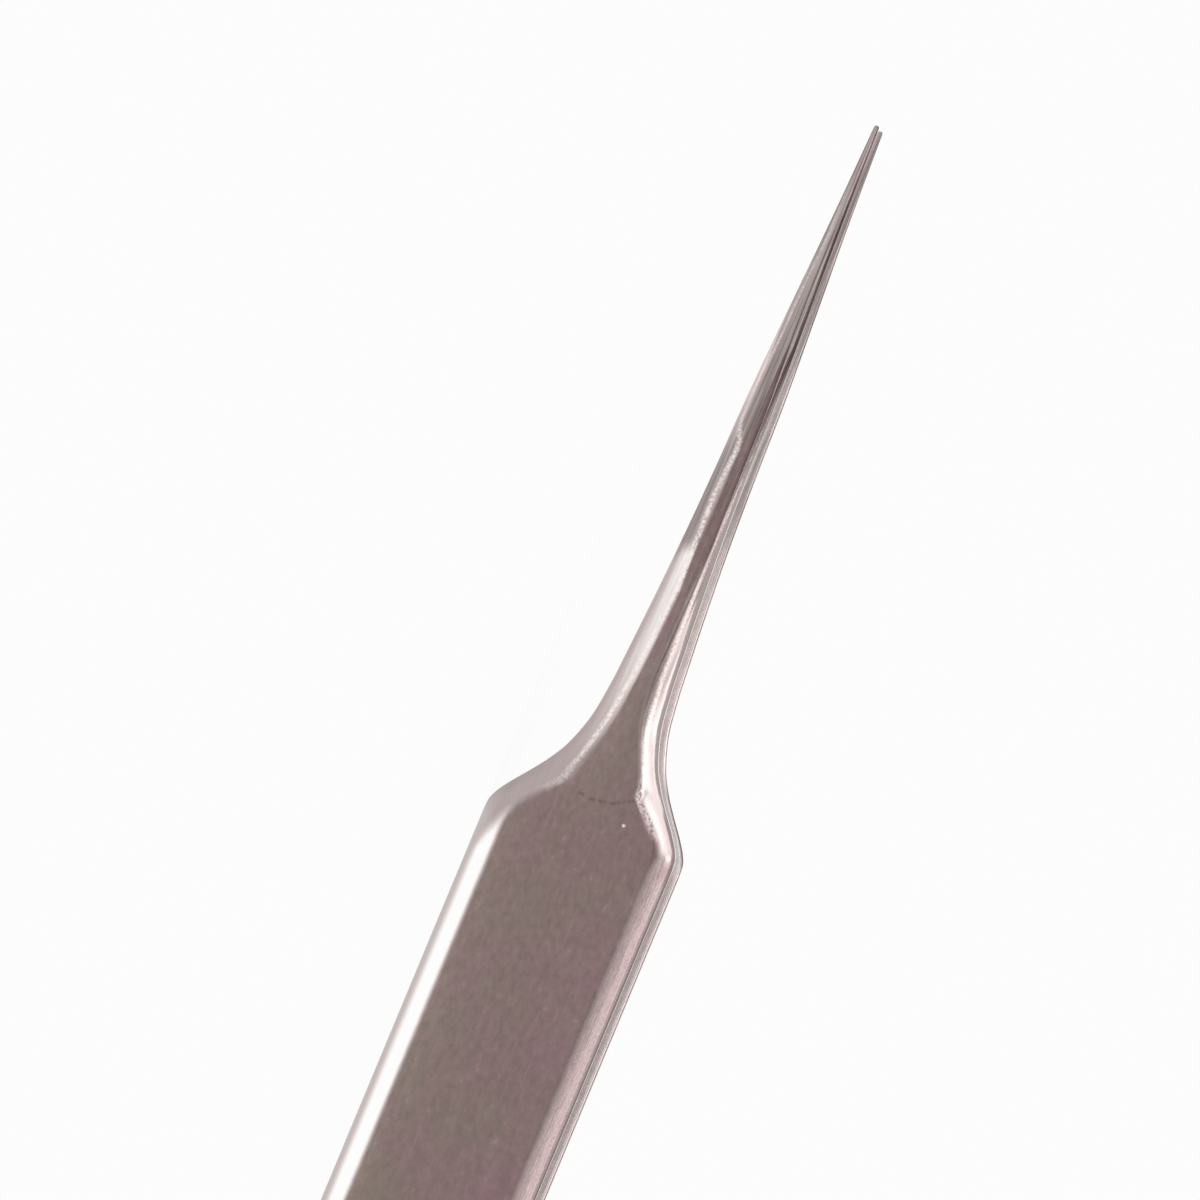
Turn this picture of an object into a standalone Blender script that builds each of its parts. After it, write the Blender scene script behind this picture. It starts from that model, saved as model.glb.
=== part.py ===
"""Straight needle tweezers: two sprung steel leaves on a welded heel.

Metres, +Z up. The tool lies on the long edges of its leaves, points towards +X.
Blender 4.5: blender --background --python part.py
"""

import math

import bmesh
import bpy
import numpy as np
from mathutils import Vector

# Overall sizes
overall_length = 0.125
grip_width = 0.0090  # across the broad grip, which is also the height of the tool as it lies
clearance = 0.0003  # between pieces that touch on the real tool

# Outline of a leaf, seen on its broad face
heel_width = 0.0056
heel_corner_radius = 0.0013
grip_start = 0.038  # from the heel end to where the grip reaches its full width
needle_length = 0.0277  # from the point to the neck
shoulder_length = 0.0078  # from the neck to the full width of the grip
neck_width = 0.00264
point_width = 0.00023

# The needle's taper, as shares of its length and of its growth from point to neck
needle_run_shares = (0.0, 0.17, 0.33, 0.50, 0.60, 0.70, 0.84, 1.0)
needle_growth_shares = (0.0, 0.135, 0.305, 0.475, 0.525, 0.60, 0.76, 1.0)

# The shoulder curve, as shares of its length and of its rise from neck to grip
shoulder_run_shares = (0.0, 0.23, 0.46, 0.58, 0.69, 0.81, 0.89, 0.945, 1.0)
shoulder_rise_shares = (0.0, 0.07, 0.24, 0.40, 0.59, 0.815, 0.94, 0.99, 1.0)

# The upper shoulder is ground nearer the point than the lower one, shares of needle and shoulder
shoulder_lead = 0.00058
lead_run_shares = (0.0, 0.57, 0.78, 1.03, 1.2)
lead_shares = (0.0, 0.0, 1.0, 1.0, 0.0)

# Thickness of a leaf
heel_thickness = 0.0011
flex_thickness = 0.00095
grip_thickness = 0.00135
neck_thickness = 0.00130
point_thickness = 0.00030

# Where those thicknesses lie, as shares of the length from the heel
thickness_run_shares = (0.0, 0.08, 0.22, 0.45, 0.78, 1.0)

# The bow of a leaf: the inner face's distance from the middle of the tool
heel_spread = 0.00075
greatest_spread = 0.0045
point_spread = 0.0026
bow_run_shares = (0.0, 0.07, 0.15, 0.26, 0.40, 0.56, 0.70, 0.84, 1.0)
bow_rise_shares = (0.0, 0.08, 0.31, 0.62, 0.88, 1.0, 0.99, 0.89, 0.68)

# The ground bevel along both long edges of the outer face
bevel_width = 0.00105
bevel_drop_share = 0.50  # of the thickness of the leaf there
chamfer_width_share = 0.74  # of the bevel, the rest is the rounded corner
chamfer_drop_share = 0.55
inner_edge = 0.00010
ridge_share = 0.94  # the most of the half width that a bevel takes on the needle

# The bevel's width along needle and shoulder, as shares of that stretch and of bevel_width
bevel_run_shares = (0.0, 0.57, 0.65, 0.73, 0.78, 0.84, 0.88, 0.906, 0.93, 0.957, 0.98, 1.0)
bevel_size_shares = (0.48, 0.52, 0.61, 0.78, 0.87, 0.89, 0.85, 0.95, 1.24, 1.06, 1.0, 1.0)

# The needle's flat is ground off its middle, towards the upper edge
facet_offset = 0.00028
facet_run_shares = (0.0, 0.22, 0.40, 0.57, 0.66, 0.74, 0.80, 1.0)
facet_offset_shares = (0.0, 0.45, 1.0, 0.80, 0.58, 0.28, 0.0, 0.0)
facet_room_share = 0.6  # of a bevel's width, the most that the flat moves into it

# Heel: the wedge between the leaves and the welds around it
heel_length = 0.0088  # from the heel end to where the leaves part
spacer_height = 0.0040
weld_end_length = 0.0007
weld_recess = 0.00012  # the welds lie this far below the edges of the leaves
spacer_rounding = 0.00012
weld_rounding = 0.00016

# Stations along a leaf, in each stretch
heel_corner_steps = 5
heel_steps = 4
flex_steps = 12
grip_steps = 9
shoulder_steps = 18
needle_steps = 20


def smooth_through(runs, rises):
    """A rounded curve through the given points that never overshoots them."""
    runs = np.array(runs, float)
    rises = np.array(rises, float)
    widths = np.diff(runs)
    slopes = np.diff(rises) / widths
    tangents = np.zeros(len(runs))
    for i in range(1, len(runs) - 1):
        before, after = slopes[i - 1], slopes[i]
        if before * after > 0:
            weight_before = 2 * widths[i] + widths[i - 1]
            weight_after = widths[i] + 2 * widths[i - 1]
            total = weight_before + weight_after
            tangents[i] = total / (weight_before / before + weight_after / after)
    tangents[0] = slopes[0]
    tangents[-1] = slopes[-1]

    def value(at):
        at = min(max(at, runs[0]), runs[-1])
        i = min(int(np.searchsorted(runs, at, side="right")) - 1, len(widths) - 1)
        t = (at - runs[i]) / widths[i]
        start = (1 + 2 * t) * (1 - t) ** 2 * rises[i] + t**2 * (3 - 2 * t) * rises[i + 1]
        bend = t * (1 - t) ** 2 * tangents[i] - t**2 * (1 - t) * tangents[i + 1]
        return float(start + bend * widths[i])

    return value


front_length = needle_length + shoulder_length
needle_growth = smooth_through(needle_run_shares, needle_growth_shares)
shoulder_rise = smooth_through(shoulder_run_shares, shoulder_rise_shares)
lead_share = smooth_through(lead_run_shares, lead_shares)
bow_rise = smooth_through(bow_run_shares, bow_rise_shares)
bevel_size = smooth_through(bevel_run_shares, bevel_size_shares)
facet_shift = smooth_through(facet_run_shares, facet_offset_shares)
leaf_thickness = smooth_through(
    thickness_run_shares,
    (
        heel_thickness,
        heel_thickness,
        flex_thickness,
        grip_thickness,
        neck_thickness,
        point_thickness,
    ),
)


def half_width(along):
    """Half the width of a leaf at a distance from the heel end."""
    to_point = overall_length - along
    if to_point <= needle_length:
        share = needle_growth(to_point / needle_length)
        return (point_width + (neck_width - point_width) * share) / 2
    if to_point < front_length:
        share = shoulder_rise((to_point - needle_length) / shoulder_length)
        return (neck_width + (grip_width - neck_width) * share) / 2
    if along >= grip_start:
        return grip_width / 2
    taper = along / grip_start
    ease = taper * (2 - taper)
    half = (heel_width + (grip_width - heel_width) * ease) / 2
    if along < heel_corner_radius:
        inset = heel_corner_radius - along
        half -= heel_corner_radius - math.sqrt(heel_corner_radius**2 - inset**2)
    return half


def inner_spread(along):
    """The inner face's distance from the middle plane of the tool."""
    share = along / overall_length
    rise = bow_rise(share)
    blend = max(0.0, (share - bow_run_shares[-2]) / (1 - bow_run_shares[-2]))
    spread = heel_spread + (greatest_spread - heel_spread) * rise
    end_spread = heel_spread + (greatest_spread - heel_spread) * bow_rise_shares[-1]
    return spread + (point_spread - end_spread) * blend**2


def edge_sizes(along):
    """Half width, bevel and shift of the flat along one edge of a leaf."""
    half = half_width(along)
    front_share = min((overall_length - along) / front_length, 1.0)
    bevel = min(bevel_width * bevel_size(front_share), half * ridge_share)
    shift = min(facet_offset * facet_shift(front_share), bevel * facet_room_share)
    return half, bevel, shift


def leaf_section(along, side):
    """The ten corners of a leaf across its length, side +1 for front and -1 for back."""
    lead = shoulder_lead * lead_share((overall_length - along) / front_length)
    low_half, low_bevel, low_shift = edge_sizes(along)
    high_half, high_bevel, high_shift = edge_sizes(along - lead)
    low_flat = low_half - low_bevel - low_shift
    high_flat = high_half - high_bevel + high_shift
    high_chamfer = (high_half - high_flat) * chamfer_width_share
    low_chamfer = (low_half - low_flat) * chamfer_width_share
    thick = leaf_thickness(along / overall_length)
    drop = thick * bevel_drop_share
    chamfer_drop = drop * chamfer_drop_share
    edge = min(inner_edge, low_half / 3)
    corners = (
        (-low_flat, thick),
        (high_flat, thick),
        (high_flat + high_chamfer, thick - chamfer_drop),
        (high_half, thick - drop),
        (high_half, edge),
        (high_half - edge, 0),
        (edge - low_half, 0),
        (-low_half, edge),
        (-low_half, thick - drop),
        (-low_flat - low_chamfer, thick - chamfer_drop),
    )
    spread = inner_spread(along)
    x = along - overall_length / 2
    middle = grip_width / 2
    return [Vector((x, side * (spread + out), middle + up)) for up, out in corners]


def stretch(start, end, steps):
    """Even stations from start up to, and not at, end."""
    return [start + (end - start) * i / steps for i in range(steps)]


def leaf_stations():
    """Distances from the heel end at which a leaf's section is drawn."""
    neck = overall_length - needle_length
    shoulder = overall_length - front_length
    stations = []
    for i in range(heel_corner_steps):
        turn = math.pi / 2 * i / heel_corner_steps
        stations.append(heel_corner_radius * (1 - math.cos(turn)))
    stations += stretch(heel_corner_radius, heel_length, heel_steps)
    stations += stretch(heel_length, grip_start, flex_steps)
    stations += stretch(grip_start, shoulder, grip_steps)
    stations += stretch(shoulder, neck, shoulder_steps)
    stations += stretch(neck, overall_length, needle_steps)
    return stations + [overall_length]


def steel(name, colour, roughness):
    material = bpy.data.materials.new(name)
    material.use_nodes = True
    shader = material.node_tree.nodes["Principled BSDF"]
    shader.inputs["Base Color"].default_value = (*colour, 1)
    shader.inputs["Metallic"].default_value = 1
    shader.inputs["Roughness"].default_value = roughness
    material.diffuse_color = (*colour, 1)
    return material


def finished(name, bm, origin, material, parts):
    """Turns a bmesh in world space into a named object with its origin at a point."""
    bmesh.ops.recalc_face_normals(bm, faces=bm.faces)
    bmesh.ops.translate(bm, verts=bm.verts, vec=-origin)
    mesh = bpy.data.meshes.new(name)
    bm.to_mesh(mesh)
    bm.free()
    mesh.materials.append(material)
    obj = bpy.data.objects.new(name, mesh)
    obj.location = origin
    parts.objects.link(obj)
    return obj


def add_leaf(name, side, material, parts):
    """A leaf: one loft from the square heel to the point."""
    bm = bmesh.new()
    rings = [[bm.verts.new(point) for point in leaf_section(a, side)] for a in leaf_stations()]
    for near, far in zip(rings, rings[1:]):
        for i in range(len(near)):
            j = (i + 1) % len(near)
            bm.faces.new((near[i], near[j], far[j], far[i]))
    bm.faces.new(rings[0])
    bm.faces.new(rings[-1])
    hinge = Vector(
        (heel_length - overall_length / 2, side * inner_spread(heel_length), grip_width / 2)
    )
    return finished(name, bm, hinge, material, parts)


def add_wedge(name, start, end, low_high, rounding, material, parts):
    """A block between the leaves, from start to end, that follows the spread between them."""
    bm = bmesh.new()
    bmesh.ops.create_cube(bm, size=2)
    for vert in bm.verts:
        along = end if vert.co.x > 0 else start
        low, high = low_high(along)
        vert.co.x = along - overall_length / 2
        vert.co.y *= inner_spread(along) - clearance
        vert.co.z = grip_width / 2 + (high if vert.co.z > 0 else low)
    middle = Vector(((start + end - overall_length) / 2, 0, grip_width / 2))
    obj = finished(name, bm, middle, material, parts)
    bevel = obj.modifiers.new("rounding", "BEVEL")
    bevel.width = rounding
    bevel.segments = 2
    bevel.limit_method = "ANGLE"
    obj.data.shade_smooth()
    obj.data.set_sharp_from_angle(angle=math.radians(40))
    return obj


def spacer_range(along):
    return -spacer_height / 2, spacer_height / 2


def upper_weld_range(along):
    return spacer_height / 2 + clearance, half_width(along) - weld_recess


def lower_weld_range(along):
    low, high = upper_weld_range(along)
    return -high, -low


def end_weld_range(along):
    reach = half_width(heel_corner_radius) - heel_corner_radius
    return -reach, reach


def main():
    for obj in list(bpy.data.objects):
        bpy.data.objects.remove(obj, do_unlink=True)
    parts = bpy.data.collections.new("straight_tweezers")
    bpy.context.scene.collection.children.link(parts)

    ground_steel = steel("ground_steel", (0.45, 0.41, 0.40), 0.32)
    spacer_steel = steel("spacer_steel", (0.50, 0.48, 0.47), 0.40)
    weld_steel = steel("weld_steel", (0.55, 0.53, 0.52), 0.36)

    add_leaf("front_arm", 1, ground_steel, parts)
    add_leaf("back_arm", -1, ground_steel, parts)

    inside = weld_end_length + clearance
    add_wedge(
        "heel_spacer", inside, heel_length, spacer_range, spacer_rounding, spacer_steel, parts
    )
    add_wedge(
        "heel_weld_upper", inside, heel_length, upper_weld_range, weld_rounding, weld_steel, parts
    )
    add_wedge(
        "heel_weld_lower", inside, heel_length, lower_weld_range, weld_rounding, weld_steel, parts
    )
    add_wedge(
        "heel_weld_end", 0, weld_end_length, end_weld_range, weld_rounding, weld_steel, parts
    )


main()
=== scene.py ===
import math
import bmesh
import bpy
from mathutils import Matrix, Vector
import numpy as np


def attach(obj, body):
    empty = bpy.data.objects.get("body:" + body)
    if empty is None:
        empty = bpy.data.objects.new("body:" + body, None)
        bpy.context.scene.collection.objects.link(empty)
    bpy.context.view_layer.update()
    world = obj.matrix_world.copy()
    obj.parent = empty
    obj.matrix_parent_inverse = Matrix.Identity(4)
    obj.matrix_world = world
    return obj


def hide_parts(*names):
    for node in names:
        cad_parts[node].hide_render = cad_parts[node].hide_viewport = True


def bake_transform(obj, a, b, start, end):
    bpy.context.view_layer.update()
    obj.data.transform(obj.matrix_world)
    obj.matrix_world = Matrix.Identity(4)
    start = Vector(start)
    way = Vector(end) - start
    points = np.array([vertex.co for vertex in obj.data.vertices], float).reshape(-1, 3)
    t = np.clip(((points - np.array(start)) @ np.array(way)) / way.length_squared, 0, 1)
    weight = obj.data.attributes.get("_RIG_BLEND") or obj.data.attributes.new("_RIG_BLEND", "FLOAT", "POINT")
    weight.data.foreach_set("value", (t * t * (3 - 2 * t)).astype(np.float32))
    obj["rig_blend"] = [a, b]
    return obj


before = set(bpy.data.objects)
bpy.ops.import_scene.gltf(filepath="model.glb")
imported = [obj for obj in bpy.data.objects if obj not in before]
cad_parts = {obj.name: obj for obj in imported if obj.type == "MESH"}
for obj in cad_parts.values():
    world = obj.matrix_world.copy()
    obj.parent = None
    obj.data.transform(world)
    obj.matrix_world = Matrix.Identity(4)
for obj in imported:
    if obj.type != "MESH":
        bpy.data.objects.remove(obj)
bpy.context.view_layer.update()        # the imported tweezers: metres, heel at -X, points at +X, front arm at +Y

scene = bpy.context.scene
scene.view_settings.view_transform = "Standard"
millimetre = 0.001


# Small helpers that every piece uses

def srgb(hexText):
    # a colour as it is written on screen, turned into the linear colour that the sockets take
    parts = [int(hexText[start:start + 2], 16) / 255 for start in (1, 3, 5)]
    return tuple(p / 12.92 if p <= 0.04045 else ((p + 0.055) / 1.055) ** 2.4
                 for p in parts) + (1.0,)


def addNode(tree, kind, settings=None, inputs=None):
    node = tree.nodes.new(kind)
    for name, value in (settings or {}).items():
        setattr(node, name, value)
    for name, value in (inputs or {}).items():
        if isinstance(value, bpy.types.NodeSocket):
            tree.links.new(value, node.inputs[name])
        else:
            node.inputs[name].default_value = value
    return node


def clearedTree(owner):
    # the node tree of a material or a world, with nothing in it
    owner.use_nodes = True
    owner.node_tree.nodes.clear()
    return owner.node_tree


def mathSocket(tree, operation, *values, clamp=False):
    # one sum on sockets and plain numbers
    settings = {"operation": operation, "use_clamp": clamp}
    return addNode(tree, "ShaderNodeMath", settings, dict(enumerate(values))).outputs[0]


def rangeSocket(tree, value, start, end, low=0.0, high=1.0, kind="LINEAR"):
    # it runs from low to high while the value runs from start to end
    return addNode(tree, "ShaderNodeMapRange", {"interpolation_type": kind},
                   {"Value": value, "From Min": start, "From Max": end,
                    "To Min": low, "To Max": high}).outputs[0]


def colourSocket(tree, share, first, second):
    # the first colour where the share is 0, the second where it is 1
    return addNode(tree, "ShaderNodeMix", {"data_type": "RGBA"},
                   {0: share, 6: first, 7: second}).outputs[2]


def placeSocket(tree, place, scale):
    return addNode(tree, "ShaderNodeMapping", {}, {"Vector": place, "Scale": scale}).outputs[0]


def noiseSocket(tree, place, scale, detail, roughness=0.5):
    return addNode(tree, "ShaderNodeTexNoise", {},
                   {"Vector": place, "Scale": scale, "Detail": detail,
                    "Roughness": roughness}).outputs[0]


def bareMetal(tree, colour, roughness, height, strength, distance):
    # plain metal under a fine relief, wired to the material's output
    bump = addNode(tree, "ShaderNodeBump", {},
                   {"Height": height, "Strength": strength, "Distance": distance})
    shader = addNode(tree, "ShaderNodeBsdfPrincipled", {},
                     {"Base Color": colour, "Metallic": 1.0, "Roughness": roughness,
                      "Normal": bump.outputs[0]})
    addNode(tree, "ShaderNodeOutputMaterial", {}, {"Surface": shader.outputs[0]})


def smoothThrough(runs, rises, place):
    # a curve through the points (run, rise) that never overshoots, level beyond its ends
    if place <= runs[0]:
        return rises[0]
    if place >= runs[-1]:
        return rises[-1]
    widths = [after - before for before, after in zip(runs, runs[1:])]
    slopes = [(rises[i + 1] - rises[i]) / widths[i] for i in range(len(widths))]
    tangents = [slopes[0]]
    for i in range(1, len(widths)):
        before, after = slopes[i - 1], slopes[i]
        early, late = 2 * widths[i] + widths[i - 1], widths[i] + 2 * widths[i - 1]
        rising = before * after > 0
        tangents.append((early + late) / (early / before + late / after) if rising else 0)
    tangents.append(slopes[-1])
    i = max(j for j in range(len(widths)) if runs[j] <= place)
    t = (place - runs[i]) / widths[i]
    return (rises[i] * (1 + 2 * t) * (1 - t) ** 2 + tangents[i] * widths[i] * t * (1 - t) ** 2
            + rises[i + 1] * t * t * (3 - 2 * t) + tangents[i + 1] * widths[i] * t * t * (t - 1))


def stepThrough(table, place):
    # straight runs between the (place, value) pairs of a table
    if place <= table[0][0]:
        return table[0][1]
    for (a, first), (b, second) in zip(table, table[1:]):
        if place <= b:
            return first + (second - first) * (place - a) / (b - a)
    return table[-1][1]


def ease(low, high, place):
    share = min(max((place - low) / (high - low), 0.0), 1.0)
    return share * share * (3 - 2 * share)


def finishPiece(bm, name, material):
    # the mesh keeps its place in its vertices, so the object stays at the origin
    mesh = bpy.data.meshes.new(name)
    bmesh.ops.recalc_face_normals(bm, faces=bm.faces[:])
    bm.to_mesh(mesh)
    bm.free()
    for polygon in mesh.polygons:
        polygon.use_smooth = True
    piece = bpy.data.objects.new(name, mesh)
    scene.collection.objects.link(piece)
    mesh.materials.append(material)
    print("made", name, len(mesh.polygons), "faces")
    return piece


# Camera: on the front arm's side, a long lens, rolled so that the points reach up to the right

cameraView = {
    "distance": 1.2,          # metres, far enough that both arms look the same size
    "lens": 793.26,           # mm, so that the frame takes in 54.5 mm of the tool
    "sensorWidth": 36,        # mm
    "clipStart": 0.05, "clipEnd": 20,    # metres
    "elevation": 2.776,       # degrees up, which shows the far arm's edge past the near one
    "towardPoints": -0.743,   # degrees round towards the points
    "slant": 67.409,          # degrees from the picture's level up to the tool's own line
    "target": (0.037701, 0.0055, 0.00127),
}


def placeCamera(values):
    up, aside = math.radians(values["elevation"]), math.radians(values["towardPoints"])
    back = Vector((math.sin(aside) * math.cos(up), math.cos(aside) * math.cos(up), math.sin(up)))
    along = Vector((1, 0, 0)) - back * back.x
    along.normalize()
    across = along.cross(back)
    slant = math.radians(values["slant"])
    right = along * math.cos(slant) + across * math.sin(slant)
    top = along * math.sin(slant) - across * math.cos(slant)
    data = bpy.data.cameras.new("studioCamera")
    data.lens = values["lens"]
    data.sensor_width = values["sensorWidth"]
    data.clip_start, data.clip_end = values["clipStart"], values["clipEnd"]
    camera = bpy.data.objects.new("studioCamera", data)
    scene.collection.objects.link(camera)
    turned = Matrix((right, top, back)).transposed().to_4x4()
    stand = Vector(values["target"]) + back * values["distance"]
    camera.matrix_world = Matrix.Translation(stand) @ turned
    scene.camera = camera


placeCamera(cameraView)
print("camera set")


# Floor, world and lamps: a white table in a pale studio, soft light from above and in front

studio = {
    "floorSize": 12.0,          # metres
    "floorColour": "#ffffff",
    "floorOwnLight": 0.93,      # the part of the white that the shadow can't take away
    "horizonColour": "#ffffff",
    "overheadColour": "#a69a99",    # the dim ceiling that the upper bevels mirror
    "horizonTop": 0.24,         # sine of the height at which the white ends
    "ceilingStart": 0.52,       # and of the height at which the ceiling is fully dim
    "lamps": {
        # name: the way to the lamp, its width in degrees, its light on a facing surface
        "overheadLamp": ((0.0, 0.36, 0.95), 40.0, 0.40),
        "pointSideLamp": ((0.50, 0.32, 0.74), 50.0, 0.50),
    },
}


def buildStudio(values):
    bm = bmesh.new()
    bmesh.ops.create_grid(bm, x_segments=1, y_segments=1, size=values["floorSize"] / 2)
    mesh = bpy.data.meshes.new("studioFloor")
    bm.to_mesh(mesh)
    bm.free()
    floor = bpy.data.objects.new("studioFloor", mesh)
    scene.collection.objects.link(floor)
    # matt white board: mostly its own even white, the rest lit, so that it keeps a soft shadow
    board = bpy.data.materials.new("mattWhiteBoard")
    tree = clearedTree(board)
    white = srgb(values["floorColour"])
    glow = addNode(tree, "ShaderNodeEmission", {}, {"Color": white, "Strength": 1.0})
    lit = addNode(tree, "ShaderNodeBsdfDiffuse", {}, {"Color": white})
    share = addNode(tree, "ShaderNodeMixShader", {},
                    {0: 1 - values["floorOwnLight"], 1: glow.outputs[0], 2: lit.outputs[0]})
    addNode(tree, "ShaderNodeOutputMaterial", {}, {"Surface": share.outputs[0]})
    mesh.materials.append(board)

    world = bpy.data.worlds.new("paleStudio")
    scene.world = world
    tree = clearedTree(world)
    place = addNode(tree, "ShaderNodeTexCoord")
    split = addNode(tree, "ShaderNodeSeparateXYZ", {}, {0: place.outputs["Generated"]})
    height = rangeSocket(tree, split.outputs["Z"], values["horizonTop"], values["ceilingStart"],
                         kind="SMOOTHSTEP")
    wall = colourSocket(tree, height, srgb(values["horizonColour"]),
                        srgb(values["overheadColour"]))
    shade = addNode(tree, "ShaderNodeBackground", {}, {"Color": wall, "Strength": 1.0})
    addNode(tree, "ShaderNodeOutputWorld", {}, {"Surface": shade.outputs[0]})

    for name, (way, width, light) in values["lamps"].items():
        data = bpy.data.lights.new(name, "SUN")
        data.angle = math.radians(width)
        data.energy = light
        lamp = bpy.data.objects.new(name, data)
        scene.collection.objects.link(lamp)
        lamp.location = Vector(way)
        lamp.rotation_euler = (-Vector(way)).to_track_quat("-Z", "Y").to_euler()


buildStudio(studio)
print("studio set")


# Ground stainless steel: spring steel leaves, belt-ground to a fine satin on the faces and
# polished on the bevels, so the face is soft and taupe and the bevels mirror the white table;
# painted reflection, painted shade and painted highlights in the colour add to that look

groundFinishAndPaintedLight = {
    "satinMauve": "#8b7375",
    "satinOlive": "#867972",
    # the polish colours carry painted reflection: near white where the painted light is high or the bevel lies
    # low by the white table, mauve tints in painted shade and along the upper edge
    "polishedLight": "#fdf8f6",
    "polishedDark": "#f3e2df",    # painted shade: where the polish's painted light is low it keeps the steel's mauve
    "polishedMauve": "#f3d9d9",   # painted reflection of the dim ceiling: more of it along the upper bevel of the grip
    "litPolishTones": (0.55, 1.0),    # painted tones between which the polish turns from dark to light
    "mauveHeights": (7.5, 8.4),   # mm above the table, between which the mauve comes in
    "cleanBelow": 0.7,            # painted reflection of the white table: mm above the table, under which the polish lightens
    "mostTableMirror": 0.6,             # and its share of light at the table
    # painted highlight: the near white laid along the ridges and on the painted glint
    "highlightWhite": "#fff6f2",
    "pit": "#b9a9a6",
    # clouds of the belt finish, with all sizes in mm
    "mottleSize": 3.2, "mottleDetail": 5.0, "mottleRoughness": 0.7, "cloudRange": (0.30, 0.70),
    # how much more mauve a face is at the upper of these heights in mm
    "driftAcross": 0.12, "driftHeights": (1.0, 8.0),
    # short brush marks, coarser than the real grit so that they show
    "grainSizes": (0.42, 0.3, 0.28), "grainDetail": 2.0, "grainRoughness": 0.6,
    "grainRange": (0.2, 0.8), "grainShade": 0.16,
    # scratches, and the pits that the grain leaves
    "scratchSizes": (5.0, 3.0, 0.06), "scratchDetail": 2.0, "scratchRoughness": 0.55,
    "scratchRange": (0.64, 0.80), "pitRange": (0.70, 0.84), "mostMarked": 0.35,
    # the long grinding lines of the needle, and how far they darken and lighten it
    "streakSizes": (9.0, 2.0, 0.16), "streakDetail": 3.0, "streakRoughness": 0.6,
    "streakRange": (0.32, 0.68), "streakSwing": (-0.55, 0.40),
    # painted highlight broken into specks along a ridge, and the ragged polish that begins on it
    "speckSize": 0.13, "speckDetail": 2.0, "speckRoughness": 0.6,
    "highlightRange": (0.36, 0.62), "leastHighlight": 0.25, "frayRange": (0.35, 0.65), "fray": 3.2,
    "satinRoughness": 0.38, "polishedRoughness": 0.14, "roughnessOfGrain": 0.08,
    "roughnessOfRidge": 0.14,
    # relief, as shares of the grain's
    "scratchRelief": 0.5, "highlightRelief": 1.5, "burr": 5.0,
    "bumpStrength": 0.5, "bumpDistance": 0.000006,    # metres
    # a faint touch of the grinding wheel and a painted glint, a bright speck, on the front leaf's face only, in
    # mm
    "arcCentre": (32.12, 0.0, 4.34), "arcRadius": 2.9, "arcWidth": 0.12, "arcTone": 0.66,
    "arcLow": 3.6, "arcHigh": 6.5, "arcFar": 30.5, "arcFade": 0.3,
    "patchRange": (0.40, 0.62), "mostPatchy": 0.8,
    "glintPlace": (28.65, 0.0, 6.21), "glintRadius": 0.11,
}


def wheelMarkAndGlint(tree, v, height, grain):
    # how far the wheel's touch darkens a spot, and how far a spot lies inside the painted glint
    flat = addNode(tree, "ShaderNodeCombineXYZ", {},
                   {"X": height.outputs["X"], "Z": height.outputs["Z"]}).outputs[0]
    fromCentre, fromGlint = (
        addNode(tree, "ShaderNodeVectorMath", {"operation": "DISTANCE"},
                {0: flat, 1: v[word]}).outputs["Value"]
        for word in ("arcCentre", "glintPlace"))
    offLine = mathSocket(tree, "SUBTRACT", fromCentre, v["arcRadius"])
    offLine = mathSocket(tree, "ABSOLUTE", offLine)
    line = rangeSocket(tree, offLine, 0.0, v["arcWidth"], v["arcTone"], 1.0)
    # it fades out at both ends and in patches, and neither the mark nor the painted glint is on the back leaf
    hidden = mathSocket(tree, "LESS_THAN", height.outputs["Y"], 0.0)
    inFront = mathSocket(tree, "SUBTRACT", 1.0, hidden)
    for axis, end, way in (("Z", "arcHigh", 1), ("Z", "arcLow", -1), ("X", "arcFar", 1)):
        past = rangeSocket(tree, height.outputs[axis], v[end] - way * v["arcFade"], v[end])
        hidden = mathSocket(tree, "MAXIMUM", hidden, past)
    patchy = rangeSocket(tree, grain, *v["patchRange"], high=v["mostPatchy"])
    hidden = mathSocket(tree, "MAXIMUM", hidden, patchy)
    touched = addNode(tree, "ShaderNodeMix", {"data_type": "FLOAT"}, {0: hidden, 2: line, 3: 1.0})
    glint = rangeSocket(tree, fromGlint, 0.0, v["glintRadius"], 1.0, 0.0)
    return touched.outputs[0], mathSocket(tree, "MULTIPLY", glint, inFront)


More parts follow.
